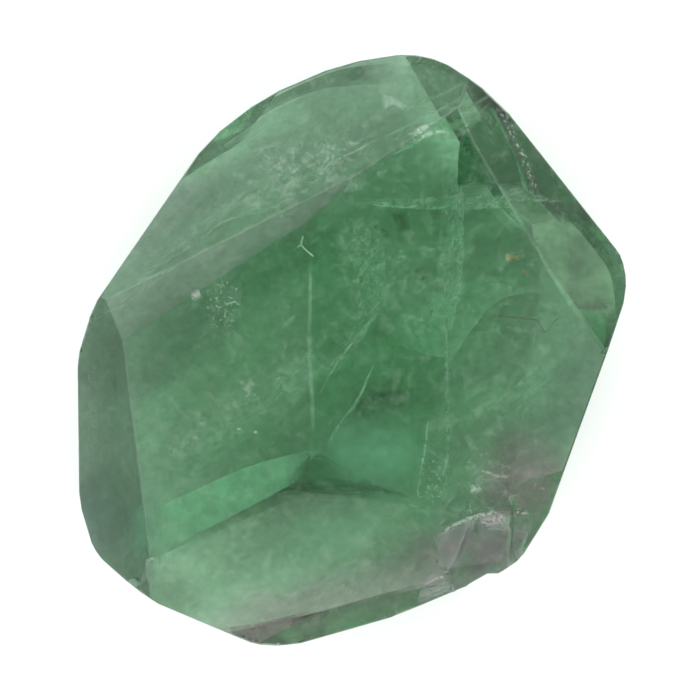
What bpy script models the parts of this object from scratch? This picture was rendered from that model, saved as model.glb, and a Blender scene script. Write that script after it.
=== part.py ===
"""A polished rainbow fluorite: one natural stone, cut all round with flat facets.

The stone lies on its largest back facet, on Z = 0. Each facet is a flat cut given the way a stone
cutter writes it down: its heading (degrees anticlockwise from +X, seen from above), its tilt
(degrees from straight up) and its reach (millimetres from the heart of the stone to the flat).
The cuts are taken off a rough block in turn, narrow ones turn the upright corners, the edges
between them all are rounded as polishing leaves them, and a few small breaks are taken out of the
finished edges.
"""

import math
import random

import bmesh
import bpy
from mathutils import Euler, Matrix, Vector

MM = 0.001
OBJECT_NAME = "polished_fluorite"
STONE_NAME = "fluorite"

# The heart is the point that every reach is measured from.
HEART = Vector((0, -0.35, 12))
ROUGH_BLOCK = 90

# name: (heading, tilt, reach)
FRONT_FACETS = {
    "table_left": (180, 1, 15.1),
    "table_middle": (0, 3, 14.75),
    "table_right": (-4, 9.5, 15.85),
    "lower_front": (-74, 7.5, 16.7),
    "lower_right": (-12, 11, 16),
    "shoulder": (126, 15.5, 18.45),
    "crown": (120, 37, 22.1),
    "left_bevel": (-173, 44, 28.3),
    "right_bevel": (23, 35, 24.1),
}
SIDE_FACETS = {
    "top": (98, 91, 32.8),
    "top_left": (113, 91, 30.8),
    "upper_left": (128, 91, 29.2),
    "long_left": (146, 90, 27.3),
    "left_corner": (162, 90, 29.6),
    "left": (180, 94, 30.6),
    "lower_left": (-163, 90, 34.8),
    "foot_left": (-130, 90, 36.4),
    "foot": (-113, 90, 34.8),
    "foot_right": (-74, 91, 29.9),
    "foot_corner": (-68, 91, 29.3),
    "right_corner": (-32, 90, 28.7),
    "long_right": (-20, 91, 27.1),
    "right_tip": (1, 92, 31.2),
    "upper_right": (39, 91, 30.8),
    "top_right": (55, 91, 32.9),
}
BACK_FACETS = {
    "rest": (0, 180, 12),
    "back_left": (184, 160, 12.9),
    "back_bottom": (-116, 164, 14.9),
    "back_top": (90, 158, 17.4),
    "back_right": (-8, 141, 21.4),
    "under_left": (184, 131, 24.3),
    "under_top_left": (134, 129, 24.2),
    "under_top_right": (46, 128, 25.8),
    "under_corner": (-42, 127, 25.5),
    "under_foot": (-86, 131, 26.6),
}

# Where two side facets meet, narrow cuts turn the corner along an arc, by no more than GIRDLE_STEP
# degrees each. The arc takes GIRDLE_SHARE of the narrower facet, and never more than GIRDLE_MOST.
GIRDLE_SHARE = 0.44
GIRDLE_MOST = 4
GIRDLE_STEP = 12

# Polishing rounds every edge where two facets turn by more than ROUNDED_FROM degrees.
ROUND_WIDTH = 0.5
ROUND_SEGMENTS = 3
ROUNDED_FROM = 10

# name: (place, reach, turn). Each break is taken out by a rough lump about its place, which reaches
# this far along X, Y and Z before it is turned by these degrees about each of them.
BREAKS = {
    "break_lower_left": ((-25.3, -27.4, 24.2), (1.7, 1, 2.1), (10, -16, 38)),
    "break_lower_left_edge": ((-23.3, -25.2, 27), (0.8, 2.1, 0.9), (0, 20, 10)),
    "break_foot_step": ((15.1, -27.3, 15), (3.3, 1.4, 13), (-2, 3, 22)),
    "break_foot_edge": ((9.6, -27.9, 25.9), (2.6, 1.5, 1.4), (-8, 4, 16)),
    "break_corner": ((20, -24.4, 21), (1.6, 1.4, 7), (6, 4, 40)),
    "break_ledge": ((15.4, -22.8, 25.3), (5.8, 3.3, 1.7), (-5, 8, 12)),
}
# A break's lump has this finely faceted a surface, and its points are off a round form by this share.
BREAK_FINENESS = 2
BREAK_ROUGHNESS = 0.16
BREAK_SEED = 7

COLOUR = (0.13, 0.27, 0.155, 1)
ROUGHNESS = 0.06
FLUORITE_IOR = 1.434


def clear_scene():
    for old in list(bpy.data.objects):
        bpy.data.objects.remove(old)


def new_collection(name, helpers=False):
    collection = bpy.data.collections.new(name)
    collection.hide_render = helpers
    bpy.context.scene.collection.children.link(collection)
    return collection


def outward(heading, tilt):
    """The unit vector that a facet faces along."""
    turn, lean = math.radians(heading), math.radians(tilt)
    return Vector((math.sin(lean) * math.cos(turn), math.sin(lean) * math.sin(turn), math.cos(lean)))


def cut_facet(stone, heading, tilt, reach):
    """Takes off everything beyond one flat and closes the cut."""
    facing = outward(heading, tilt)
    everything = stone.verts[:] + stone.edges[:] + stone.faces[:]
    cut = bmesh.ops.bisect_plane(
        stone,
        geom=everything,
        plane_co=(HEART + facing * reach) * MM,
        plane_no=facing,
        clear_outer=True,
    )
    rim = [piece for piece in cut["geom_cut"] if isinstance(piece, bmesh.types.BMEdge)]
    bmesh.ops.edgeloop_fill(stone, edges=rim)


def sideways(heading):
    turn = math.radians(heading)
    return Vector((math.cos(turn), math.sin(turn)))


def meeting(one, other):
    """Where two side facets meet at the height of the heart, seen from above and from the heart."""
    facings = Matrix((sideways(one[0]), sideways(other[0])))
    return facings.inverted() @ Vector((one[2], other[2]))


def girdle_cuts():
    """The narrow cuts that turn the corners between neighbouring side facets."""
    sides = list(SIDE_FACETS.values())
    followers = sides[1:] + sides[:1]
    corners = [meeting(one, other) for one, other in zip(sides, followers)]
    widths = [(corners[i] - corners[i - 1]).length for i in range(len(sides))]
    for corner, one, other, width, next_width in zip(
        corners, sides, followers, widths, widths[1:] + widths[:1]
    ):
        turn = (other[0] - one[0]) % 360
        half = math.radians(turn / 2)
        radius = min(GIRDLE_SHARE * min(width, next_width), GIRDLE_MOST) / math.tan(half)
        centre = corner - sideways(one[0] + turn / 2) * radius / math.cos(half)
        steps = math.ceil(turn / GIRDLE_STEP)
        for step in range(1, steps):
            heading = one[0] + turn * step / steps
            yield heading, (one[1] + other[1]) / 2, centre.dot(sideways(heading)) + radius


def cut_stone():
    """The rough block with every facet cut."""
    stone = bmesh.new()
    bmesh.ops.create_cube(stone, size=ROUGH_BLOCK * MM)
    named = [*BACK_FACETS.values(), *SIDE_FACETS.values(), *FRONT_FACETS.values()]
    for heading, tilt, reach in [*named, *girdle_cuts()]:
        cut_facet(stone, heading, tilt, reach)
    bmesh.ops.recalc_face_normals(stone, faces=stone.faces[:])
    return stone


def new_object(name, shape, collection):
    mesh = bpy.data.meshes.new(name)
    shape.to_mesh(mesh)
    shape.free()
    made = bpy.data.objects.new(name, mesh)
    collection.objects.link(made)
    return made


def round_edges(stone):
    bevel = stone.modifiers.new("polished_edges", "BEVEL")
    bevel.width = ROUND_WIDTH * MM
    bevel.segments = ROUND_SEGMENTS
    bevel.limit_method = "ANGLE"
    bevel.angle_limit = math.radians(ROUNDED_FROM)


def rough_lump(reach, chance):
    """A lump with small uneven flats, as fluorite leaves where it flakes."""
    lump = bmesh.new()
    bmesh.ops.create_icosphere(lump, subdivisions=BREAK_FINENESS, radius=1)
    for vert in lump.verts:
        vert.co *= 1 + chance.uniform(-BREAK_ROUGHNESS, BREAK_ROUGHNESS)
    bmesh.ops.scale(lump, vec=Vector(reach) * MM, verts=lump.verts[:])
    return lump


def break_away(stone, name, place, lump, turn, collection):
    """One small break in the finished stone, by a lump that stays as a hidden cutter."""
    cutter = new_object(name, lump, collection)
    angles = Euler([math.radians(angle) for angle in turn])
    cutter.matrix_world = Matrix.LocRotScale(Vector(place) * MM, angles, None)
    cutter.hide_render = True
    cutter.display_type = "WIRE"
    cut = stone.modifiers.new(name, "BOOLEAN")
    cut.operation = "DIFFERENCE"
    cut.solver = "EXACT"
    cut.object = cutter


def fluorite_material():
    material = bpy.data.materials.new("green_fluorite")
    material.use_nodes = True
    shader = material.node_tree.nodes["Principled BSDF"]
    shader.inputs["Base Color"].default_value = COLOUR
    shader.inputs["Roughness"].default_value = ROUGHNESS
    shader.inputs["Metallic"].default_value = 0
    shader.inputs["IOR"].default_value = FLUORITE_IOR
    return material


def main():
    clear_scene()
    parts = new_collection(OBJECT_NAME)
    cutters = new_collection("cutters", helpers=True)
    stone = new_object(STONE_NAME, cut_stone(), parts)
    stone.data.materials.append(fluorite_material())
    round_edges(stone)
    chance = random.Random(BREAK_SEED)
    for name, (place, reach, turn) in BREAKS.items():
        break_away(stone, name, place, rough_lump(reach, chance), turn, cutters)


main()
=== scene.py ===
"""The looks of a polished rainbow fluorite, laid on its largest back facet.

The stone is one clear solid. What shows inside it (fractures, veils, stains) is thin sheets that sit
in it, and so are painted glints, painted light and painted shade where its facets show light or dark.
Lengths and places are millimetres and angles are degrees, in the frame that the CAD uses.
"""

import math

import bmesh
import bpy
import numpy as np
from mathutils import Euler, Matrix, Vector
from mathutils.bvhtree import BVHTree


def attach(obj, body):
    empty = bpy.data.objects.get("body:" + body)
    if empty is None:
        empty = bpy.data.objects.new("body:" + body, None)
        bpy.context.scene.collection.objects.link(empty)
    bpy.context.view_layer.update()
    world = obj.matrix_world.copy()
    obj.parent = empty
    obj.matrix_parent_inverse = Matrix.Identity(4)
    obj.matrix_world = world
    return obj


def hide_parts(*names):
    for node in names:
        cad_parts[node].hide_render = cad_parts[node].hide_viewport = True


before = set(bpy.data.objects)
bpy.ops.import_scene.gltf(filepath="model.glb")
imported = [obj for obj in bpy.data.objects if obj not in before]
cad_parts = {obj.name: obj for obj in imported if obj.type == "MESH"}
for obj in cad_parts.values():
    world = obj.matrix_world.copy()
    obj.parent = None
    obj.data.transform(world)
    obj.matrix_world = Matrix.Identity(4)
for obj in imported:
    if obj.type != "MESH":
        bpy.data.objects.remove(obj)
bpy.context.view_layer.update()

MM = 0.001

# The visual stone is the frame's own shape, with its flats whole again and its breaks more finely broken.
WELD = 0.0005
FLAT_TURN = 0.05
SHARP_TURN = 28
FLAT_WEIGHT = 100

# name: (place, reach, turn), as in the CAD
BREAKS = {
    "lower_left": ((-25.3, -27.4, 24.2), (1.7, 1, 2.1), (10, -16, 38)),
    "lower_left_edge": ((-23.3, -25.2, 27), (0.8, 2.1, 0.9), (0, 20, 10)),
    "foot_step": ((15.1, -27.3, 15), (3.3, 1.4, 13), (-2, 3, 22)),
    "foot_edge": ((9.6, -27.9, 25.9), (2.6, 1.5, 1.4), (-8, 4, 16)),
    "corner": ((20, -24.4, 21), (1.6, 1.4, 7), (6, 4, 40)),
    "ledge": ((15.4, -22.8, 25.3), (5.8, 3.3, 1.7), (-5, 8, 12)),
}
# name: (place, size, turn). Where it cleaved, it left flat steps: each is taken out by one block.
STEPS = {
    "step_left": ((13.6, -25.2, 26.6), (5.2, 11, 6.4), (5, 3, 23)),
    "step_middle": ((16.3, -24.0, 26.7), (4.6, 11, 6.6), (7, -2, 15)),
    "step_right": ((17.0, -23.8, 26.5), (2.8, 10.6, 6.2), (4, 5, -4)),
    "step_chip": ((10.2, -28.6, 26.8), (4, 3.4, 5.4), (-12, 8, 26)),
}
STEP_UNEVENNESS = 0.06
# The lump that makes a break is this much larger than the CAD's. Its flats lie at BREAK_DEPTHS, as
# shares of its reach, and none of it is further out than BREAK_MOST. A flat shapes the points whose
# direction has a cosine of more than LEAST_FACING to its own.
BREAK_MARGIN = 1.1
BREAK_FLATS = 90
BREAK_DEPTHS = (0.86, 1.08)
BREAK_MOST = 1.15
LEAST_FACING = 0.3
BREAK_FINENESS = 5
BREAK_SEED = 7

# Small nicks on the edges: (a place near the edge, size).
NICKS = [
    ((-29.8, 4.6, 20), 0.6),
    ((-30.8, 1.5, 19), 0.4),
    ((-31.2, -4.5, 18), 0.35),
    ((15.8, 28.6, 20), 0.5),
    ((17.5, 26.5, 19), 0.35),
    ((20.6, 22.8, 19), 0.5),
    ((24.9, 17.9, 19), 0.4),
    ((29.6, 11.8, 18), 0.35),
    ((29.9, 1.2, 22), 0.45),
    ((-23.6, -15.5, 27), 0.35),
    ((-8.6, -33.0, 22), 0.4),
    ((3.2, -29.9, 23), 0.4),
]
NICK_SHAPE = (1.6, 0.7, 0.8)

# The camera looks straight down. Its picture is FRAME_WIDTH wide at AIM_HEIGHT.
CAMERA_HEIGHT = 814
CAMERA_AIM = (-0.23, -0.077)
FRAME_WIDTH = 80.5
AIM_HEIGHT = 14
SENSOR = 36
CLIP_NEAR = 50
CLIP_FAR = 5000

# Absorption per metre through clear green fluorite.
ABSORBED = (42, 22, 34)
FLUORITE_IOR = 1.434
STONE_ROUGHNESS = 0.04
CLEAR = (0.61, 0.85, 0.66)

# name: ((heading, tilt) as in the CAD, tint, haze). The tint is painted light and shade: it makes each
# facet lighter or darker, and shifts its hue, by the way that it faces.
FACET_PAINTED_LIGHT_AND_HAZE = {
    "table_left": ((180, 1), (0.93, 0.84, 0.88), 0.02),
    "table_middle": ((0, 3), (1, 1, 1), 0.01),
    "table_right": ((-4, 9.5), (1, 1, 1), 0.02),
    "lower_front": ((-74, 7.5), (1.18, 1.04, 1.08), 0.05),
    "lower_right": ((-12, 11), (1, 1, 1), 0.03),
    "shoulder": ((126, 15.5), (0.85, 0.66, 0.78), 0.05),
    "crown": ((120, 37), (1.22, 1.08, 1.17), 0.05),
    "left_bevel": ((-173, 44), (0.62, 0.56, 0.6), 0.03),
    "right_bevel": ((23, 35), (1.02, 0.88, 0.95), 0.03),
    "rest": ((0, 180), (1, 1, 1), 0.0),
    "back_left": ((184, 160), (1, 1, 1), 0.0),
    "back_bottom": ((-116, 164), (1, 1, 1), 0.0),
    "back_top": ((90, 158), (1, 1, 1), 0.0),
    "back_right": ((-8, 141), (1, 1, 1), 0.0),
    "under_left": ((184, 131), (1, 1, 1), 0.02),
    "under_top_left": ((134, 129), (1, 1, 1), 0.02),
    "under_top_right": ((46, 128), (1, 1, 1), 0.02),
    "under_corner": ((-42, 127), (1, 1, 1), 0.02),
    "under_foot": ((-86, 131), (1, 1, 1), 0.02),
}
SIDE_LOOK = ((1, 1, 1), 0.03)
SIDE_LEAN = 0.3
BROKEN_LOOK = ((0.95, 0.88, 0.94), 0.26)

# name: (colour, haze, feathers, strength, place, reach, turn, solid share). They reach right through.
ZONES = {
    "lilac_foot": ((0.68, 0.57, 0.61), 0.05, 0.05, 0.9, (12, -23.5, 14), (16, 6, 40), (0, 0, 20), 0.3),
    "lilac_low_edge": ((0.64, 0.58, 0.58), 0.06, 0.04, 0.9, (-5, -29.3, 14), (18, 5.2, 40), (0, 0, 13), 0.3),
    "lilac_corner": ((0.82, 0.55, 0.64), 0.03, 0.05, 0.9, (20, -14, 14), (8, 8, 40), (0, 0, -20), 0.3),
    "lilac_left": ((0.48, 0.58, 0.5), 0.03, 0.04, 0.75, (-30, -5, 14), (9.5, 20, 40), (0, 0, 0), 0.2),
    "milky_crown": ((0.71, 0.87, 0.75), 0.05, 0.08, 0.9, (-7, 19.5, 14), (19, 8, 40), (0, 0, 30), 0.2),
    "milky_band": ((0.62, 0.86, 0.66), 0.04, 0.12, 0.9, (-13, -5, 14), (15, 4, 40), (0, 0, 34), 0.1),
    "bright_foot": ((0.84, 1.08, 0.92), 0.03, 0.02, 0.9, (-2, -20.5, 14), (15, 5, 40), (0, 0, 20), 0.3),
    "bright_heart": ((0.68, 1, 0.85), 0.03, 0.0, 0.95, (1, -12, 14), (11, 6, 40), (0, 0, 10), 0.3),
    "clear_heart": ((0.46, 0.76, 0.54), 0.0, 0.04, 0.7, (-9, 9, 14), (12, 5, 40), (0, 0, 28), 0.2),
    "olive_left": ((0.38, 0.52, 0.4), 0.01, 0.05, 0.85, (-22, 1.5, 14), (13, 8, 40), (0, 0, 33), 0.3),
    "dark_left_foot": ((0.36, 0.45, 0.42), 0.0, 0.03, 0.9, (-27, -20, 14), (7, 10, 40), (0, 0, 30), 0.3),
    "lilac_right": ((0.4, 0.52, 0.42), 0.02, 0.04, 0.9, (26, -4, 14), (7, 15, 40), (0, 0, -18), 0.2),
    "dim_foot_left": (
        (0.32, 0.43, 0.33), 0.03, 0.04, 0.9, (-22.5, -27.5, 14), (8.5, 5.5, 40), (0, 0, -20), 0.3
    ),
    "dim_top": ((0.5, 0.66, 0.54), 0.04, 0.06, 0.9, (3, 30.5, 14), (14, 4.5, 40), (0, 0, 8), 0.3),
    "dim_crown_left": ((0.54, 0.6, 0.55), 0.04, 0.05, 0.85, (-21, 13, 14), (14, 7, 40), (0, 0, 42), 0.3),
    "middle_veils": ((0.6, 0.86, 0.66), 0.03, 0.08, 0.8, (7, 8, 14), (11, 9, 40), (0, 0, 0), 0.2),
}

# name: look, rail, other rail, their heights, strength along the one, the middle and the other.
# The points of a rail are (x, y) at AIM_HEIGHT, where the camera sees the sheet. A height below zero
# is how far the sheet is behind the facet that it shows through.
SHEETS = {
    "vein_upper": (
        "feathered",
        [(9.9, 22.9), (10.2, 17.2), (9.7, 11), (9.2, 6.5), (8.4, 2.5)],
        [(12.7, 23.6), (12.8, 17.2), (12.7, 11), (12.1, 6), (11.3, 2.2)],
        (10, 18),
        (0.1, 0.35, 0.4),
    ),
    "vein_lower": (
        "feathered",
        [(10.8, 5.1), (10.8, -0.1), (10.9, -5.8), (10.8, -11.6), (10.5, -17.3)],
        [(11.3, 5.1), (11.3, -0.1), (11.4, -5.8), (11.3, -11.6), (10.9, -17.6)],
        (17, 20),
        (0.3, 0.6, 0.3),
    ),
    "vein_foot": (
        "flecked",
        [(8.3, -9.6), (7.9, -15.6), (6.4, -18.7)],
        [(10.8, -9.6), (10.7, -15), (9.2, -19.6)],
        (16, 19),
        (0.3, 0.45, 0.3),
    ),
    "curved_veil": (
        "feathered",
        [(-0.8, 15.4), (-0.2, 10.3), (0, 5.7), (-2.5, 0.5), (-4.6, -2.6)],
        [(2.6, 15.8), (3.9, 10), (3.2, 4.5), (0, -0.3), (-2.5, -4.1)],
        (10, 16),
        (0, 0.4, 0.3),
    ),
    "cloud": (
        "smooth",
        [(2.3, 7.4), (5.5, 8.9), (10.1, 9.4), (15.9, 10), (20.5, 10)],
        [(5.5, 0.5), (11.3, -0.8), (13.8, 2.2), (17, 5.7), (21.4, 6.9)],
        (8, 14),
        (0, 0.3, 0.45),
    ),
    "level_band": (
        "feathered",
        [(-0.8, 17.6), (5.5, 17.2), (12.7, 17.7), (17.6, 17.6), (21, 16.7), (25.3, 16.9)],
        [(-0.8, 16.9), (5.5, 16.3), (12.7, 16), (17.6, 16.3), (21, 16.3), (25.3, 16.5)],
        (12, 15),
        (0.35, 0.4, 0.6),
    ),
    "speckled_band": (
        "flecked",
        [(16.1, 28.2), (18.2, 24.5), (19.7, 20.4), (20.8, 17.2)],
        [(17, 28.4), (19, 24.8), (20.7, 20.6), (21.7, 17.4)],
        (-0.8, -0.8),
        (0.2, 0.7, 0.3),
    ),
    # Painted shade: this sheet and the next are dark green just under the facets, where the corner and the
    # tip show dark.
    "dark_corner": (
        "painted_deep_shade",
        [(13.6, 26.6), (12.8, 22.9), (12.7, 18.1)],
        [(15.3, 28.6), (18.4, 22.9), (19.8, 17.9)],
        (-3, -3),
        (0.95, 1, 0.95),
    ),
    "dark_tip": (
        "painted_deep_shade",
        [(20.7, 21.5), (21.7, 18.3), (23, 17.1)],
        [(20.9, 21.8), (23.5, 19.2), (25.3, 17.2)],
        (-2, -2),
        (1, 1, 1),
    ),
    # Painted light: a pale patch on the right bevel.
    "bright_bevel": (
        "painted_bevel_light",
        [(20.3, 16.2), (21.2, 12), (23.7, 7.4), (26.8, 2.8)],
        [(24.2, 15.8), (27.3, 12.2), (29.7, 8.6), (30.5, 3.2)],
        (-1.5, -1.5),
        (0.45, 0.6, 0.6),
    ),
    # Painted shade: a dark strip under the right bevel, along its edge.
    "bevel_strip": (
        "painted_deep_shade",
        [(23.4, 16.7), (26.1, 13.6), (28.2, 10.5), (29.6, 7.6)],
        [(25.2, 16.5), (27.7, 13.5), (29.4, 11.2), (30.5, 8.2)],
        (-2, -2),
        (0.85, 0.85, 0.85),
    ),
    # Painted shade: a dark green strip along the crown's outer edge.
    "crown_strip": (
        "painted_edge_shade",
        [(-15.6, 24.8), (-12.9, 26.8), (-8.7, 29.1), (-4.1, 31.2), (-0.2, 32.4), (5.5, 33)],
        [(-15.5, 23.2), (-12.5, 25.5), (-8.3, 28), (-4, 29.8), (-0.2, 30.3), (5.5, 30.7)],
        (9, 10),
        (0.7, 0.75, 0.5),
    ),
    "crown_gleam": (
        "smooth",
        [(-15.6, 22.9), (-12.5, 25.1), (-8.3, 27.8), (-3.9, 29.6)],
        [(-16, 21.3), (-10.3, 23.8), (-6, 25.5), (-3.9, 26.4)],
        (8, 10),
        (0.5, 0.3, 0),
    ),
    "wedge": (
        "teal",
        [(-23.7, -18.7), (-18.1, -16.2), (-11.7, -13.4), (-3.9, -11.3)],
        [(-23.2, -24.9), (-19.6, -22.2), (-10.8, -17.6), (-6, -15)],
        (15, 13),
        (0.7, 0.7, 0.6),
    ),
    "dark_wedge": (
        "green_shade",
        [(-3.8, -11.6), (-6.4, -14.1), (-9, -16.9)],
        [(-3.8, -11.6), (0.3, -13.9), (5.5, -16.9)],
        (7, 7),
        (0.85, 0.85, 0.6),
    ),
    # Painted shade: a dark line along the arc where two facets meet.
    "arc": (
        "painted_mid_shade",
        [(-10.3, -17.5), (-5.4, -16.1), (-0.8, -15.8), (3.4, -16.3), (6.9, -17.5)],
        [(-10.3, -17.9), (-5.4, -16.9), (-0.8, -16.5), (3.4, -17), (7, -17.9)],
        (8, 8),
        (0.1, 0.6, 0.1),
    ),
    "arc_shadow": (
        "shade",
        [(-23, -25), (-17.3, -21.2), (-10.6, -18.1), (-3.5, -16.8), (5.5, -17.6)],
        [(-21.5, -27), (-15.6, -23.6), (-8.9, -21), (-1.8, -19.8), (5.5, -19.6)],
        (8, 6),
        (0.3, 0.08, 0),
    ),
    "dark_patch": (
        "shade",
        [(0, -4.9), (1.6, -3.5), (3.8, -2.6), (6.7, -3.1)],
        [(-0.8, -8.7), (1.5, -8.1), (4.4, -7.6), (7.2, -7)],
        (9, 7),
        (0, 0.6, 0),
    ),
    "cleavage_step": (
        "lilac",
        [(9.9, -21), (13.6, -19.4), (18.2, -18.8)],
        [(8.4, -24.6), (13, -25), (18.2, -24)],
        (22.4, 21.8),
        (0.15, 0.25, 0.2),
    ),
    "corner_dusk": (
        "dusk",
        [(13, -16), (18.2, -14.4), (25.2, -11.4)],
        [(14.6, -18.4), (19.6, -19), (23.6, -17)],
        (-1.2, -1.2),
        (0.1, 0.5, 0.55),
    ),
    "corner_shade": (
        "dusk",
        [(18.4, -19.4), (20.6, -18.8), (23, -17)],
        [(10.8, -27.2), (16.2, -26.8), (20.5, -23)],
        (21.8, 21),
        (0.35, 0.5, 0.6),
    ),
    "ledge_band": (
        "crackled",
        [(9.9, -20.9), (13.6, -19.1), (16.3, -18.2), (20.9, -18.6)],
        [(10.1, -21.8), (13.6, -20.4), (16.3, -20.1), (20.6, -19.6)],
        (22.8, 22.8),
        (0.15, 0.6, 0.2),
    ),
    "foot_chip": (
        "lilac",
        [(7.6, -27), (10.6, -25.1), (11.5, -26.5)],
        [(8.3, -27.9), (10.8, -27), (11.7, -27.7)],
        (19, 19),
        (0.45, 0.45, 0.45),
    ),
    "white_blotch": (
        "bright",
        [(3.2, 29.4), (4.9, 28.9), (6.6, 27.8)],
        [(3.5, 27.4), (4.6, 28.1), (6, 27.5)],
        (16, 16),
        (0.7, 0.8, 0.7),
    ),
    "milky_band": (
        "crackled",
        [(-24.8, -11.1), (-17.5, -6.4), (-10.3, -1), (-2.5, 3.6)],
        [(-23.2, -15.9), (-15.8, -11.6), (-8.3, -7.2), (-1.6, -2.6)],
        (18, 20),
        (0, 0.45, 0),
    ),
    "bright_middle": (
        "teal",
        [(-4, -7), (2, -8), (8, -9)],
        [(-3, -14.5), (3, -15.5), (8, -16.5)],
        (17, 16),
        (0, 0.25, 0.12),
    ),
    "crown_crackle": (
        "crackled",
        [(-11.5, 22.9), (-6, 24.3), (-0.2, 25.5), (3.8, 26.4)],
        [(-11.7, 17.2), (-7.1, 17.6), (-1.4, 19), (3, 21.8)],
        (15, 17),
        (0.2, 0.6, 0.2),
    ),
    "crown_wisps": (
        "feathered",
        [(-28.1, 6.1), (-20.9, 13.1), (-14, 18.3), (-7.1, 21.8)],
        [(-27.6, 5.2), (-19.8, 11), (-12.9, 15.4), (-6, 17.2)],
        (15, 17),
        (0.05, 0.25, 0.15),
    ),
    "left_specks": (
        "flecked",
        [(-17.3, 7.4), (-14.6, 8.1), (-12.4, 7)],
        [(-17.4, 3.4), (-14.6, 2.2), (-12.6, 3.1)],
        (24, 24),
        (0.3, 1, 0.3),
    ),
    "band_cloud": (
        "smooth",
        [(-22, -10.4), (-15, -6.2), (-8.8, -1.6), (-3.6, 1.8)],
        [(-20.5, -16.3), (-13.2, -11.6), (-7.4, -7.6), (-2.6, -3.2)],
        (16, 16),
        (0, 0.38, 0),
    ),
    "middle_cloud": (
        "crackled",
        [(-3.5, 16.6), (-2.5, 10.3), (-3.5, 3.4)],
        [(3, 15.4), (4.6, 9.1), (2.1, 2.2)],
        (17, 20),
        (0, 0.4, 0.1),
    ),
    "corner_haze": (
        "flecked",
        [(11.5, -12.2), (17, -10.4), (23.9, -8.1)],
        [(12, -19.6), (17, -18.2), (21.4, -17.3)],
        (20, 18),
        (0.05, 0.3, 0.4),
    ),
    "foot_swirls": (
        "feathered",
        [(-18.6, -27.7), (-8.3, -26), (0.9, -24.2), (9, -21.9)],
        [(-14, -32.3), (-6, -30.6), (2.1, -28.8), (9, -27.1)],
        (18, 16),
        (0, 0.22, 0.15),
    ),
    "right_haze": (
        "feathered",
        [(12.7, 0.5), (19.3, 1.1), (27.4, 0.5)],
        [(11.8, -10.4), (18.2, -10.4), (23.9, -9.3)],
        (15, 15),
        (0, 0.2, 0),
    ),
    "foot_light": (
        "teal",
        [(-6, -17.6), (0, -17.8), (5, -18.4)],
        [(-9, -22.4), (-3, -23.4), (2, -23.4)],
        (15, 13),
        (0, 0.22, 0.08),
    ),
    # Painted shade: a grey-green sheet just under the facets along the bottom edge.
    "foot_dusk": (
        "painted_grey_shade",
        [(-15, -32), (-11, -31.5), (-4.4, -29.9)],
        [(-13.4, -33.8), (-11.2, -33.9), (-6.2, -31.4)],
        (-1.5, -1.5),
        (0.6, 0.75, 0.75),
    ),
    # Painted shade: a dark green strip along the bottom edge.
    "foot_painted_shade": (
        "painted_edge_shade",
        [(-11, -33.2), (-6.6, -31.4), (-1.4, -29.5), (9.5, -26.5)],
        [(-9.6, -34.4), (-3.6, -32.9), (0.9, -31.6), (11, -28.6)],
        (-1.6, -1.6),
        (0.8, 0.9, 0.8),
    ),
    "crown_glow": (
        "glow",
        [(-19.1, 19.7), (-17, 22.9), (-14, 25.5)],
        [(-17.9, 19), (-15.6, 22), (-12.4, 24.5)],
        (-2, -2),
        (0.3, 0.35, 0.3),
    ),
    "bevel_glow": (
        "glow",
        [(17.6, 29.1), (22.2, 22.9), (26.8, 16.6)],
        [(18.4, 28.7), (22.8, 22.2), (27.4, 15.4)],
        (-2, -2),
        (0.5, 0.6, 0.5),
    ),
    # Painted light and shade: this sheet and the next lay a mid green just under the facets near the top
    # edge and at the crown's end.
    "top_glow": (
        "painted_light_and_shade_green",
        [(5.8, 32.6), (9, 32.6), (13.6, 30.6)],
        [(6.1, 28), (10.1, 27.4), (14.7, 28)],
        (-2, -2),
        (0.35, 0.5, 0.3),
    ),
    "crown_end": (
        "painted_light_and_shade_green",
        [(9.3, 26.4), (11.8, 27.6), (15.1, 28.9)],
        [(10.4, 24.2), (12.4, 24.4), (15.2, 26.9)],
        (-1.2, -1.2),
        (0.3, 0.6, 0.3),
    ),
    "corner_streaks": (
        "feathered",
        [(13, -12.8), (17, -12.2), (22.8, -12.6)],
        [(13.2, -15.4), (18, -17), (23.2, -17.4)],
        (21, 20),
        (0, 0.3, 0.2),
    ),
    # Painted shade: a dark green sheet just under the right bevel.
    "bevel_painted_shade": (
        "painted_mid_shade",
        [(17.8, 26.6), (19.3, 22.9), (20.5, 19.5), (21.6, 17.2)],
        [(18.7, 27.7), (21.4, 24.1), (23.9, 20.4), (26, 17.2)],
        (-2.8, -2.8),
        (0.6, 0.7, 0.7),
    ),
    "vein_veil": (
        "smooth",
        [(9.6, 23.2), (10, 17.2), (9.5, 11), (9, 6.5), (8.2, 2.5)],
        [(12.8, 23.6), (12.8, 17.2), (12.7, 11), (12.1, 6), (11.3, 2.2)],
        (14, 16),
        (0, 0.15, 0.3),
    ),
    "bevel_veil": (
        "smooth",
        [(-28.8, 3), (-28, -6), (-27.2, -14), (-25.8, -21)],
        [(-26.5, 3), (-25.7, -6), (-24.9, -14), (-23.8, -21)],
        (-1, -1),
        (0, 0.1, 0.14),
    ),
    "bevel_specks": (
        "flecked",
        [(-30.2, 0), (-30.4, -7), (-30.2, -14)],
        [(-27.2, 0), (-27, -7), (-26.4, -14)],
        (-0.8, -0.8),
        (0.25, 0.15, 0.05),
    ),
    # Painted light and shade: a mid green sheet just under the facets at the foot of the right bevel.
    "bevel_foot_painted_light_and_shade": (
        "painted_light_and_shade_green",
        [(14.4, 17.7), (16.7, 15.2), (18.8, 13)],
        [(17.6, 18.4), (19.8, 16.6), (21, 14.4)],
        (-1.5, -1.5),
        (0.3, 0.55, 0.4),
    ),
    "left_chips": (
        "crackled",
        [(-23.9, -24.5), (-23.6, -26), (-23.3, -27.4)],
        [(-23.1, -24.2), (-23, -25.8), (-22.9, -27.2)],
        (24, 24),
        (0.5, 0.8, 0.5),
    ),
}

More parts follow.
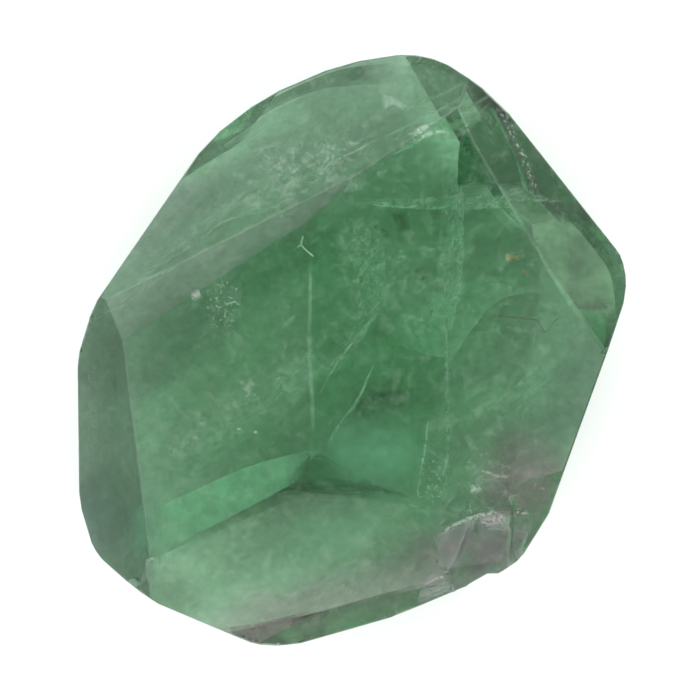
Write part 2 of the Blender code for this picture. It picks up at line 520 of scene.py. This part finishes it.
# name: look, path, width, height, strength
LINES = {
    "vein_side": ("feathered", [(9, -7.6), (8.6, -11.6), (7.9, -15.6), (7.5, -18.7)], 0.3, 18, 0.5),
    "upper_crack": ("feathered", [(3.1, 4.5), (0.9, 1.9), (-1.4, -1), (-3.9, -5.3)], 0.4, 17, 0.6),
    "lower_crack": ("feathered", [(2.5, -1.5), (0.7, -5.6), (-1.4, -8.4), (-2.5, -10.4)], 0.4, 17, 0.6),
    "crown_edge_left": (
        "feathered",
        [(-29.7, 4.5), (-25, 7.7), (-20.9, 10.5), (-17.7, 12.3), (-15, 14.6), (-9.4, 16.3), (-6.9, 16.9)],
        0.35,
        15.5,
        0.5,
    ),
    "crown_edge_right": (
        "feathered",
        [(-6.9, 16.9), (-1.4, 19.5), (1.6, 21.1), (5.5, 22.9), (9, 24.5), (13.3, 26.8), (15.6, 28.6)],
        0.5,
        15.5,
        0.5,
    ),
    "top_streak": ("feathered", [(5.5, 27.5), (10.6, 29.5), (13.6, 31)], 0.6, 13, 0.5),
    "upright_line": (
        "smooth",
        [(-4.7, 10.7), (-4.8, 5.7), (-4.9, 1.1), (-4.6, -5.8), (-4.4, -10.4)],
        0.6,
        25,
        0.25,
    ),
    "y_mark": ("bright", [(-5.6, 13), (-5.8, 12), (-4.5, 10.7)], 0.16, 25, 0.9),
    "y_mark_arm": ("bright", [(-5.8, 12), (-6.3, 11.8)], 0.16, 25, 0.9),
    "white_dot": ("glint", [(-18.6, 5.9), (-18, 6.3), (-17.4, 6.7)], 0.9, 25, 1),
    "zigzag": ("brown", [(16.8, 3.8), (21.2, 3.4)], 0.22, 21, 0.5),
    "zigzag_down": ("brown", [(21.2, 3.4), (22.2, 1.9)], 0.22, 21, 0.5),
    "zigzag_up": ("brown", [(22.2, 1.9), (23.7, 3.6)], 0.18, 21, 0.4),
    "iron_stain": ("rust", [(17.6, 10.4), (18.5, 10.7), (19.4, 10.6)], 1.1, 20, 0.7),
    "iron_spot": ("rust", [(19.6, 9.4), (20.4, 8.3)], 0.35, 20, 0.6),
    # The glint lines from here on are painted glints: white highlights on the broken ledge, the chips and
    # small fractures.
    "ledge_glint": ("glint", [(14.8, -20), (16.3, -19.6), (17.8, -19.3)], 1.3, 22.9, 1),
    "ledge_streak": (
        "glint",
        [(9.8, -21.4), (12.6, -19.9), (15.4, -19), (17.8, -18.5), (20.8, -18.9)],
        0.7,
        22.9,
        1,
    ),
    "chip_glint": ("glint", [(7.8, -27.3), (9.9, -26.3), (10.6, -26.2)], 0.5, 21.5, 0.9),
    "sparkle": ("glint", [(13.5, -16.3), (15, -15.7)], 1.2, 22, 0.9),
    "small_streak": ("glint", [(14.8, -13.8), (16.5, -14.5), (18.3, -14.7)], 0.5, 22, 0.6),
    "small_glint": ("glint", [(17.3, -16.2), (18.6, -17.4)], 0.7, 22, 0.8),
    "right_dots": ("glint", [(20.8, -15.4), (22.3, -16.2)], 0.8, 22, 0.6),
    "crown_dots": ("glint", [(7, 23.9), (9.2, 24.9), (11.3, 25.1)], 0.7, 22, 0.9),
    "band_dot": ("milk", [(-11.3, -9.6), (-10.9, -9.4)], 0.4, 25, 0.9),
    "band_dot_left": ("milk", [(-13.2, -9.2), (-12.8, -9.1)], 0.3, 25, 0.8),
    "dark_spot": ("shade", [(5.3, 16), (5.8, 14.6), (6.1, 13.5)], 1.8, 14, 0.8),
    "dark_spot_left": ("shade", [(3.3, 13.8), (4.3, 13.3)], 0.9, 14, 0.5),
    "dark_spot_low": ("shade", [(7.4, 9.4), (8.3, 8)], 1.3, 14, 0.7),
}

# name: colour, pattern
SHEET_LOOKS = {
    "feathered": ((0.8, 0.93, 0.84), "feather"),
    "smooth": ((0.72, 0.93, 0.78), "even"),
    "teal": ((0.62, 1, 0.78), "even"),
    "lilac": ((0.78, 0.73, 0.77), "even"),
    "bright": ((0.97, 0.96, 0.95), "even"),
    "milk": ((0.97, 0.96, 0.95), "even"),
    # Painted light and shade: a mid green laid just under facets near the edges.
    "painted_light_and_shade_green": ((0.2, 0.42, 0.25), "even"),
    "dusk": ((0.15, 0.2, 0.155), "even"),
    # Painted shade: a grey-green for the bottom edge.
    "painted_grey_shade": ((0.22, 0.28, 0.22), "even"),
    # Painted shade: a dark green for strips along the outer edges.
    "painted_edge_shade": ((0.06, 0.25, 0.105), "even"),
    "green_shade": ((0.03, 0.33, 0.12), "even"),
    "glint": ((1, 1, 1), "glint"),
    "flecked": ((0.9, 0.97, 0.92), "fleck"),
    # Painted shade: the darkest green, for the dark corner, the dark tip and the bevel strip.
    "painted_deep_shade": ((0.006, 0.15, 0.04), "even"),
    # Painted shade: a dark green, for the arc and under the right bevel.
    "painted_mid_shade": ((0.06, 0.24, 0.1), "even"),
    # Painted light: a pale green for the light patch on the right bevel.
    "painted_bevel_light": ((0.38, 0.63, 0.42), "even"),
    "shade": ((0.012, 0.17, 0.055), "even"),
    "glow": ((0.2, 0.62, 0.3), "even"),
    "crackled": ((0.85, 0.93, 0.87), "crackle"),
    "rust": ((0.8, 0.33, 0.1), "glint"),
    "brown": ((0.08, 0.05, 0.03), "even"),
}
# Lines of these looks end sharply. The edges of the others have this share of their strength.
HARD_LOOKS = ("bright", "brown")
SOFT_EDGE = 0.2
SHEET_STEPS = 28
SHEET_ROWS = 6
SHEET_ROUGHNESS = 0.5
# A sheet fades at each end over one part in this many of its length.
FADE_PARTS = 6
# A smooth path stops this far short of its last point, in steps between points.
PATH_STOP = 1e-6

# Growth bands, as (turn) and (length, width, depth) of their grain.
BAND_TURN = (0, 0, math.radians(33))
BAND_SIZE = (20, 5.5, 9)
# The same for the feathers in healed fractures.
GRAIN_TURN = (0, 0, math.radians(38))
GRAIN_SIZE = (4.6, 0.9, 2)
# How fine the faint mottling of its colour is.
MOTTLE_SIZE = 1.1
# How milky the feathers are outside every zone, and how large they are.
FEATHERS = 0.05
FEATHER_SIZE = 1.6
# How close together the cracks are, in the stone and in crackled sheets.
CRACKS_PER_MM = 0.6
SHEET_CRACKS_PER_MM = 1.9
# How the borders of what a pattern places are pushed about: (size of the swirls, amount).
ZONE_WARP = (7, 2.6)
BAND_WARP = (5, 1.2)
FEATHER_WARP = (3, 2.4)
CRACK_WARP = (1.8, 2.2)
SHEET_WARP = (2.5, 0.8)

# A face larger than this is one of the stone's flats. Sheets stay SKIN under the flats along the ray
# that they are seen by, and LEAST_SKIN under every surface.
FLAT_AREA = 12
SKIN = 0.35
LEAST_SKIN = 0.1

# The soft light is strongest about halfway up: (sine of its height, share of the full light).
SKY = [(0, 0.5), (0.36, 0.4), (0.55, 1.2), (0.78, 1.2), (0.97, 0.3)]
SKY_LIGHT = 2.0
LIGHT_BOUNCES = 8
DIFFUSE_BOUNCES = 2

FLOOR_REACH = 1500
FLOOR_DROP = 0.02
FLOOR_COLOUR = (0.93, 0.93, 0.93, 1)
FLOOR_ROUGHNESS = 0.9


def linked(name, mesh):
    made = bpy.data.objects.new(name, mesh)
    bpy.context.scene.collection.objects.link(made)
    return made


def as_object(name, shape):
    mesh = bpy.data.meshes.new(name)
    shape.to_mesh(mesh)
    shape.free()
    return linked(name, mesh)


def applied(thing):
    """The object with its modifiers made part of its mesh."""
    graph = bpy.context.evaluated_depsgraph_get()
    done = bpy.data.meshes.new_from_object(thing.evaluated_get(graph))
    thing.modifiers.clear()
    thing.data = done
    return thing


def cleaved_lump(reach, chance):
    """A lump bounded by many small flats, which is what it leaves behind in the stone."""
    lump = bmesh.new()
    bmesh.ops.create_icosphere(lump, subdivisions=BREAK_FINENESS, radius=1)
    facings = chance.normal(size=(BREAK_FLATS, 3))
    facings /= np.linalg.norm(facings, axis=1)[:, None]
    depths = chance.uniform(*BREAK_DEPTHS, BREAK_FLATS)
    ways = np.array([vert.co.normalized() for vert in lump.verts])
    along = ways @ facings.T
    limits = np.where(along > LEAST_FACING, depths / np.maximum(along, LEAST_FACING), np.inf)
    outs = np.minimum(limits.min(axis=1), BREAK_MOST)
    for vert, way, out in zip(lump.verts, ways, outs):
        vert.co = way * out
    bmesh.ops.scale(lump, vec=Vector(reach) * MM, verts=lump.verts[:])
    return lump


def whole_flats(node):
    """The frame's shape, welded, with each flat made one face again."""
    shape = bmesh.new()
    shape.from_mesh(node.data)
    shape.transform(node.matrix_world)
    bmesh.ops.remove_doubles(shape, verts=shape.verts[:], dist=WELD * MM)
    bmesh.ops.dissolve_limit(
        shape, angle_limit=math.radians(FLAT_TURN), verts=shape.verts[:], edges=shape.edges[:]
    )
    return shape


def nearest_vertex(mesh, place):
    return min((vert.co for vert in mesh.vertices), key=lambda spot: (spot - place * MM).length)


def cleaved_block(size, chance):
    block = bmesh.new()
    bmesh.ops.create_cube(block, size=1)
    for vert in block.verts:
        vert.co += Vector(chance.uniform(-STEP_UNEVENNESS, STEP_UNEVENNESS, 3))
    bmesh.ops.scale(block, vec=Vector(size) * MM, verts=block.verts[:])
    bmesh.ops.triangulate(block, faces=block.faces[:])
    return block


def broken_part(name, shape):
    """The cutter for one break. Its faces are marked, and so are the ones that it leaves in the stone."""
    cutter = as_object("break_" + name, shape)
    marks = [1.0] * len(cutter.data.polygons)
    cutter.data.attributes.new("broken", "FLOAT", "FACE").data.foreach_set("value", marks)
    return cutter


def break_away(stone, cutter, place, turn):
    angles = Euler([math.radians(angle) for angle in turn])
    cutter.matrix_world = Matrix.LocRotScale(Vector(place) * MM, angles, None)
    cut = stone.modifiers.new(cutter.name, "BOOLEAN")
    cut.operation = "DIFFERENCE"
    cut.solver = "EXACT"
    cut.object = cutter
    return cutter


def polished_stone():
    stone = as_object("fluorite_stone", whole_flats(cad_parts["fluorite"]))
    stone.data.attributes.new("broken", "FLOAT", "FACE")
    chance = np.random.default_rng(BREAK_SEED)
    cutters = []
    for name, (place, reach, turn) in BREAKS.items():
        lump = cleaved_lump(Vector(reach) * BREAK_MARGIN, chance)
        cutters.append(break_away(stone, broken_part(name, lump), place, turn))
    for name, (place, size, turn) in STEPS.items():
        cutters.append(break_away(stone, broken_part(name, cleaved_block(size, chance)), place, turn))
    for number, (place, size) in enumerate(NICKS):
        edge = nearest_vertex(stone.data, Vector(place)) / MM
        lump = cleaved_lump(Vector(NICK_SHAPE) * size, chance)
        nick = broken_part(f"nick_{number}", lump)
        cutters.append(break_away(stone, nick, edge, chance.uniform(0, 360, 3)))
    applied(stone)
    for cutter in cutters:
        bpy.data.objects.remove(cutter)
    stone.data.shade_smooth()
    stone.data.set_sharp_from_angle(angle=math.radians(SHARP_TURN))
    weigh = stone.modifiers.new("flat_facets", "WEIGHTED_NORMAL")
    weigh.keep_sharp = True
    weigh.weight = FLAT_WEIGHT
    return applied(stone)


def large_flats(mesh):
    """(unit normal, a point) of every large polished flat of the stone."""
    broken = mesh.attributes["broken"].data
    return [
        (face.normal.copy(), face.center.copy())
        for face in mesh.polygons
        if face.area > FLAT_AREA * MM**2 and broken[face.index].value < 0.5
    ]


def crossings(flats, start, ray, side):
    """(how far the ray goes to each flat's plane, its normal, a point), for the flats on this side of it."""
    return [
        ((point - start).dot(facing) / ray.dot(facing), facing, point)
        for facing, point in flats
        if ray.dot(facing) * side > 0
    ]


def eye_ray(x, y):
    """Where the camera is, and its ray through this place at the height it aims at."""
    eye = Vector((*CAMERA_AIM, CAMERA_HEIGHT)) * MM
    return eye, (Vector((x, y, AIM_HEIGHT)) * MM - eye).normalized()


def facet_over(flats, x, y):
    """The facet that shows at x, y, as (unit normal, a point)."""
    eye, ray = eye_ray(x, y)
    return max(crossings(flats, eye, ray, -1), key=lambda crossing: crossing[0])[1:]


def seen_at(flats, facet, x, y, height):
    """The place that shows at x, y through this facet, kept a little inside the stone.

    A height below zero is how far the place is behind the facet.
    """
    eye, ray = eye_ray(x, y)
    facing, point = facet
    entry = eye + ray * ((point - eye).dot(facing) / ray.dot(facing))
    lean = -ray.dot(facing)
    bent = math.sqrt(1 - (1 - lean**2) / FLUORITE_IOR**2)
    inside = ray / FLUORITE_IOR + facing * (lean / FLUORITE_IOR - bent)
    way_in = max(crossing[0] for crossing in crossings(flats, entry, inside, -1)) + SKIN * MM
    way_out = min(crossing[0] for crossing in crossings(flats, entry, inside, 1)) - SKIN * MM
    wanted = (height * MM - entry.z) / inside.z if height > 0 else -height * MM
    return entry + inside * min(max(wanted, way_in), max(way_out, way_in))


def smooth_path(points, count):
    """Points at even steps along a smooth curve through the given ones."""
    given = [np.array(point) for point in points]
    led = [2 * given[0] - given[1], *given, 2 * given[-1] - given[-2]]
    spots = []
    for step in np.linspace(0, len(points) - 1 - PATH_STOP, count):
        start, share = int(step), step % 1
        a, b, c, d = led[start : start + 4]
        straight = (c - a) * share
        bend = (2 * a - 5 * b + 4 * c - d) * share**2
        twist = (3 * b - a - 3 * c + d) * share**3
        spots.append(0.5 * (2 * b + straight + bend + twist))
    return spots


class Sheets:
    """Gathers the sheets that share one look into one mesh."""

    def __init__(self, flats, surface):
        self.flats = flats
        self.surface = surface
        self.corners = []
        self.faces = []
        self.strengths = []

    def within(self, place):
        """Whether the place is inside the stone, under breaks and round corners too."""
        spot, facing, _, _ = self.surface.find_nearest(place)
        return (spot - place).dot(facing) > LEAST_SKIN * MM

    def add(self, rail, other, heights, strengths, fade_ends=True):
        middle = (np.mean(rail, axis=0) + np.mean(other, axis=0)) / 2
        facet = facet_over(self.flats, *middle)
        rails = smooth_path(rail, SHEET_STEPS), smooth_path(other, SHEET_STEPS)
        corners = {}
        for i, (one, two) in enumerate(zip(*rails)):
            along = i / (SHEET_STEPS - 1)
            fade = min(1, along * FADE_PARTS, (1 - along) * FADE_PARTS) if fade_ends else 1
            for j in range(SHEET_ROWS + 1):
                across = j / SHEET_ROWS
                x, y = one * (1 - across) + two * across
                height = heights[0] * (1 - across) + heights[1] * across
                place = seen_at(self.flats, facet, x, y, height)
                if self.within(place):
                    corners[i, j] = place, np.interp(across, (0, 0.5, 1), strengths) * fade
        self.join(corners)

    def join(self, corners):
        """Faces between the corners, where all four are inside the stone."""
        numbers = {}
        for i in range(SHEET_STEPS - 1):
            for j in range(SHEET_ROWS):
                around = [(i, j), (i, j + 1), (i + 1, j + 1), (i + 1, j)]
                if all(corner in corners for corner in around):
                    for corner in around:
                        numbers.setdefault(corner, len(self.corners) + len(numbers))
                    self.faces.append([numbers[corner] for corner in around])
        for corner in numbers:
            place, strength = corners[corner]
            self.corners.append(place)
            self.strengths.append(strength)

    def as_object(self, name):
        mesh = bpy.data.meshes.new(name)
        mesh.from_pydata(self.corners, [], self.faces)
        mesh.attributes.new("sheet_strength", "FLOAT", "POINT").data.foreach_set("value", self.strengths)
        return linked(name, mesh)


def line_rails(path, width):
    """The two edges of a line of this width."""
    points = [np.array(point, float) for point in path]
    ahead = [points[min(i + 1, len(points) - 1)] - points[max(i - 1, 0)] for i in range(len(points))]
    sides = [np.array((-way[1], way[0])) / np.linalg.norm(way) * width / 2 for way in ahead]
    return [p + s for p, s in zip(points, sides)], [p - s for p, s in zip(points, sides)]


# Makes the sheets in the stone: its fractures, veils and stains, and the sheets of painted glints, light and
# shade.
def inclusions(stone):
    flats = large_flats(stone.data)
    surface = BVHTree.FromObject(stone, bpy.context.evaluated_depsgraph_get())
    looks = {look: Sheets(flats, surface) for look in SHEET_LOOKS}
    for look, rail, other, heights, strengths in SHEETS.values():
        looks[look].add(rail, other, heights, strengths)
    for look, path, width, height, strength in LINES.values():
        rail, other = line_rails(path, width)
        edge = strength if look in HARD_LOOKS else strength * SOFT_EDGE
        looks[look].add(rail, other, (height, height), (edge, strength, edge), look not in HARD_LOOKS)
    for look, sheets in looks.items():
        thing = sheets.as_object("inclusions_" + look)
        thing.data.materials.append(sheet_material(look, *SHEET_LOOKS[look]))
        thing.data.shade_smooth()
        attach(thing, "root")


class Graph:
    """A material's node tree, with short ways to add what this stone needs."""

    def __init__(self, name):
        self.material = bpy.data.materials.new(name)
        self.material.use_nodes = True
        self.tree = self.material.node_tree
        self.shader = self.tree.nodes["Principled BSDF"]

    def feed(self, socket, value):
        if isinstance(value, bpy.types.NodeSocket):
            self.tree.links.new(value, socket)
        else:
            socket.default_value = value

    def add(self, kind, inputs, output=0, **settings):
        node = self.tree.nodes.new("ShaderNode" + kind)
        for key, value in settings.items():
            setattr(node, key, value)
        for key, value in inputs.items():
            self.feed(node.inputs[key], value)
        return node.outputs[output]

    def maths(self, operation, first, second=0.0):
        return self.add("Math", {0: first, 1: second}, operation=operation)

    def spread(self, value, low, high, out_low=0.0, out_high=1.0):
        """The value moved smoothly from low..high to out_low..out_high."""
        ends = {"Value": value, "From Min": low, "From Max": high, "To Min": out_low, "To Max": out_high}
        return self.add("MapRange", ends, interpolation_type="SMOOTHSTEP")

    def blend(self, share, first, second, kind="MIX"):
        node = self.tree.nodes.new("ShaderNodeMix")
        node.data_type = "RGBA"
        node.blend_type = kind
        self.feed(node.inputs["Factor"], share)
        self.feed(node.inputs[6], first)
        self.feed(node.inputs[7], second)
        return node.outputs[2]

    def blend_number(self, share, first, second):
        node = self.tree.nodes.new("ShaderNodeMix")
        node.data_type = "FLOAT"
        self.feed(node.inputs["Factor"], share)
        self.feed(node.inputs[2], first)
        self.feed(node.inputs[3], second)
        return node.outputs[0]

    def places(self):
        """Object coordinates in millimetres."""
        place = self.add("TexCoord", {}, "Object")
        return self.add("VectorMath", {0: place, "Scale": 1 / MM}, operation="SCALE")

    def warped(self, place, size, amount):
        """The same coordinates, pushed about so that what they place has uneven borders."""
        stir = self.add("TexNoise", {"Vector": place, "Scale": 1 / size, "Detail": 3.0}, "Color")
        centred = self.add("VectorMath", {0: stir, 1: (0.5, 0.5, 0.5)}, operation="SUBTRACT")
        push = self.add("VectorMath", {0: centred, "Scale": 2.0 * amount}, operation="SCALE")
        return self.add("VectorMath", {0: place, 1: push}, operation="ADD")

    def near(self, place, centre, reach, turn, core):
        """1 within the core share of an ellipsoid, and 0 at its surface and outside it."""
        angles = tuple(math.radians(angle) for angle in turn)
        mapped = self.add(
            "Mapping",
            {"Vector": place, "Location": centre, "Rotation": angles, "Scale": reach},
            vector_type="TEXTURE",
        )
        far = self.add("VectorMath", {0: mapped}, "Value", operation="LENGTH")
        return self.spread(far, 1.0, core)

    def noise(self, place, size, detail=4.0, roughness=0.55):
        inputs = {"Vector": place, "Scale": 1 / size, "Detail": detail, "Roughness": roughness}
        return self.add("TexNoise", inputs)

    def stretched(self, place, turn, size):
        """The coordinates for a grain with this turn and this length, width and depth."""
        inputs = {"Vector": place, "Rotation": turn, "Scale": size}
        return self.add("Mapping", inputs, vector_type="TEXTURE")

    def cracks(self, place, per_mm):
        """How far each place is from the nearest line of a net of cracks."""
        inputs = {"Vector": place, "Scale": per_mm}
        return self.add("TexVoronoi", inputs, "Distance", feature="DISTANCE_TO_EDGE")


def sheet_material(look, colour, pattern):
    graph = Graph("inclusion_" + look)
    shader = graph.shader
    place = graph.places()
    strength = graph.add("Attribute", {}, "Fac", attribute_name="sheet_strength")
    stirred = graph.warped(place, *SHEET_WARP)
    if pattern == "feather":
        grain = graph.stretched(stirred, GRAIN_TURN, GRAIN_SIZE)
        marks = graph.spread(graph.noise(grain, 1, 9.0, 0.7), 0.42, 0.64, 0.3, 1.5)
    elif pattern == "crackle":
        lines = graph.spread(graph.cracks(stirred, SHEET_CRACKS_PER_MM), 0.06, 0.0, 0.0, 0.4)
        patches = graph.spread(graph.noise(stirred, 0.5, 7.0, 0.75), 0.48, 0.6, 0.1, 0.9)
        where = graph.spread(graph.noise(place, 3.2, 3.0, 0.5), 0.42, 0.58)
        marks = graph.maths("MULTIPLY", graph.maths("ADD", lines, patches), where)
    elif pattern == "glint":
        marks = graph.spread(graph.noise(place, 0.45, 4.0, 0.7), 0.42, 0.5, 0.0, 1.2)
    elif pattern == "fleck":
        marks = graph.spread(graph.noise(place, 0.5, 4.0, 0.75), 0.54, 0.62, 0.05, 1.3)
    else:
        marks = graph.spread(graph.noise(place, 2.2, 5.0, 0.6), 0.25, 0.75, 0.75, 1.2)
    shader.inputs["Base Color"].default_value = (*colour, 1)
    graph.feed(shader.inputs["Alpha"], graph.maths("MINIMUM", graph.maths("MULTIPLY", strength, marks), 1.0))
    shader.inputs["Roughness"].default_value = SHEET_ROUGHNESS
    shader.inputs["Specular IOR Level"].default_value = 0
    return graph.material


def fluorite():
    graph = Graph("fluorite")
    shader = graph.shader
    place = graph.places()
    soft_place = graph.warped(place, *ZONE_WARP)
    facet_tint_and_painted_light = graph.add("Attribute", {}, "Color", attribute_name="facet_tint_and_painted_light")
    haze = graph.add("Attribute", {}, "Fac", attribute_name="facet_haze")
    colour = (*CLEAR, 1)
    feathers = FEATHERS
    for zone_colour, zone_haze, zone_feathers, strength, centre, reach, turn, core in ZONES.values():
        mask = graph.near(soft_place, centre, reach, turn, core)
        share = graph.maths("MULTIPLY", mask, strength)
        colour = graph.blend(share, colour, (*zone_colour, 1))
        haze = graph.blend_number(share, haze, zone_haze)
        feathers = graph.blend_number(share, feathers, zone_feathers)
    # Each facet's painted light and shade, and the frosted colour of broken faces.
    colour = graph.blend(1.0, colour, facet_tint_and_painted_light, "MULTIPLY")

    # Growth bands rise to the right, and are finer than they are long.
    band_place = graph.stretched(graph.warped(place, *BAND_WARP), BAND_TURN, BAND_SIZE)
    bands = graph.noise(band_place, 1, 4.0, 0.6)
    band_shade = graph.spread(bands, 0.3, 0.7, 0.84, 1.1)
    mottle = graph.spread(graph.noise(place, MOTTLE_SIZE, 6.0, 0.65), 0.35, 0.65, 0.9, 1.08)
    shade = graph.maths("MULTIPLY", band_shade, mottle)
    colour = graph.add("VectorMath", {0: colour, "Scale": shade}, operation="SCALE")

    # Healed fractures: feathery clouds of tiny bubbles, and cracks through them.
    feather = graph.noise(graph.warped(place, *FEATHER_WARP), FEATHER_SIZE, 8.0, 0.72)
    cracks = graph.cracks(graph.warped(place, *CRACK_WARP), CRACKS_PER_MM)
    veil = graph.maths("ADD", graph.spread(feather, 0.5, 0.63), graph.spread(cracks, 0.05, 0.0, 0.0, 0.7))
    haze = graph.maths("ADD", haze, graph.maths("MULTIPLY", veil, feathers))
    graph.feed(shader.inputs["Base Color"], colour)
    graph.feed(shader.inputs["Transmission Weight"], graph.maths("SUBTRACT", 1.0, haze))
    shader.inputs["Roughness"].default_value = STONE_ROUGHNESS
    shader.inputs["IOR"].default_value = FLUORITE_IOR
    absorb = graph.tree.nodes.new("ShaderNodeVolumeAbsorption")
    most = max(ABSORBED)
    absorb.inputs["Color"].default_value = tuple(1 - amount / most for amount in ABSORBED) + (1,)
    absorb.inputs["Density"].default_value = most
    graph.tree.links.new(absorb.outputs["Volume"], graph.tree.nodes["Material Output"].inputs["Volume"])
    return graph.material


def direction(heading, tilt):
    turn, lean = math.radians(heading), math.radians(tilt)
    return Vector((math.sin(lean) * math.cos(turn), math.sin(lean) * math.sin(turn), math.cos(lean)))


def facet_painted_light_and_haze(facing):
    """The tint and haze of the facet that faces most nearly this way. The tint is painted light and shade.
    """
    if abs(facing.z) < SIDE_LEAN:
        return SIDE_LOOK
    nearest = max(FACET_PAINTED_LIGHT_AND_HAZE.values(), key=lambda look: direction(*look[0]).dot(facing))
    return nearest[1:]


# Paints each face's light and shade by the facet it belongs to, and gives broken faces their frosted colour.
def paint_facet_light_and_haze(mesh):
    broken = [mark.value > 0.5 for mark in mesh.attributes["broken"].data]
    looks = [BROKEN_LOOK if mark else facet_painted_light_and_haze(face.normal) for mark, face in zip(broken, mesh.polygons)]
    tints, hazes = zip(*looks)
    colours = [number for tint in tints for number in (*tint, 1)]
    mesh.attributes.new("facet_tint_and_painted_light", "FLOAT_COLOR", "FACE").data.foreach_set("color", colours)
    mesh.attributes.new("facet_haze", "FLOAT", "FACE").data.foreach_set("value", hazes)


def soft_sky():
    """A world whose light depends on how high in the sky it comes from."""
    world = bpy.data.worlds.new("studio")
    world.use_nodes = True
    sky = world.node_tree
    where = sky.nodes.new("ShaderNodeTexCoord")
    parts = sky.nodes.new("ShaderNodeSeparateXYZ")
    ramp = sky.nodes.new("ShaderNodeValToRGB")
    for _ in range(len(SKY) - 2):
        ramp.color_ramp.elements.new(0.5)
    for stop, (rise, light) in zip(ramp.color_ramp.elements, SKY):
        stop.position = rise
        stop.color = (light, light, light, 1)
    sky.links.new(where.outputs["Generated"], parts.inputs[0])
    sky.links.new(parts.outputs["Z"], ramp.inputs["Fac"])
    sky.links.new(ramp.outputs["Color"], sky.nodes["Background"].inputs["Color"])
    sky.nodes["Background"].inputs["Strength"].default_value = SKY_LIGHT
    # The light is so even that aiming rays at parts of the sky only takes time.
    world.cycles.sampling_method = "NONE"
    return world


def pale_floor():
    shape = bmesh.new()
    bmesh.ops.create_grid(shape, x_segments=1, y_segments=1, size=FLOOR_REACH * MM)
    floor = as_object("floor", shape)
    floor.location.z = -FLOOR_DROP * MM
    white = bpy.data.materials.new("floor_white")
    white.use_nodes = True
    shader = white.node_tree.nodes["Principled BSDF"]
    shader.inputs["Base Color"].default_value = FLOOR_COLOUR
    shader.inputs["Roughness"].default_value = FLOOR_ROUGHNESS
    shader.inputs["Specular IOR Level"].default_value = 0
    floor.data.materials.append(white)


def overhead_camera():
    data = bpy.data.cameras.new("camera")
    data.sensor_width = SENSOR
    data.lens = SENSOR * (CAMERA_HEIGHT - AIM_HEIGHT) / FRAME_WIDTH
    data.clip_start = CLIP_NEAR * MM
    data.clip_end = CLIP_FAR * MM
    camera = linked("camera", data)
    camera.location = Vector((*CAMERA_AIM, CAMERA_HEIGHT)) * MM
    return camera


def studio():
    scene = bpy.context.scene
    scene.world = soft_sky()
    scene.view_settings.view_transform = "Standard"
    scene.cycles.use_denoising = True
    scene.cycles.max_bounces = LIGHT_BOUNCES
    scene.cycles.transmission_bounces = LIGHT_BOUNCES
    scene.cycles.diffuse_bounces = DIFFUSE_BOUNCES
    scene.cycles.transparent_max_bounces = LIGHT_BOUNCES
    pale_floor()
    scene.camera = overhead_camera()


stone = polished_stone()
paint_facet_light_and_haze(stone.data)
stone.data.materials.clear()
stone.data.materials.append(fluorite())
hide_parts("fluorite")
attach(stone, "root")
inclusions(stone)
studio()
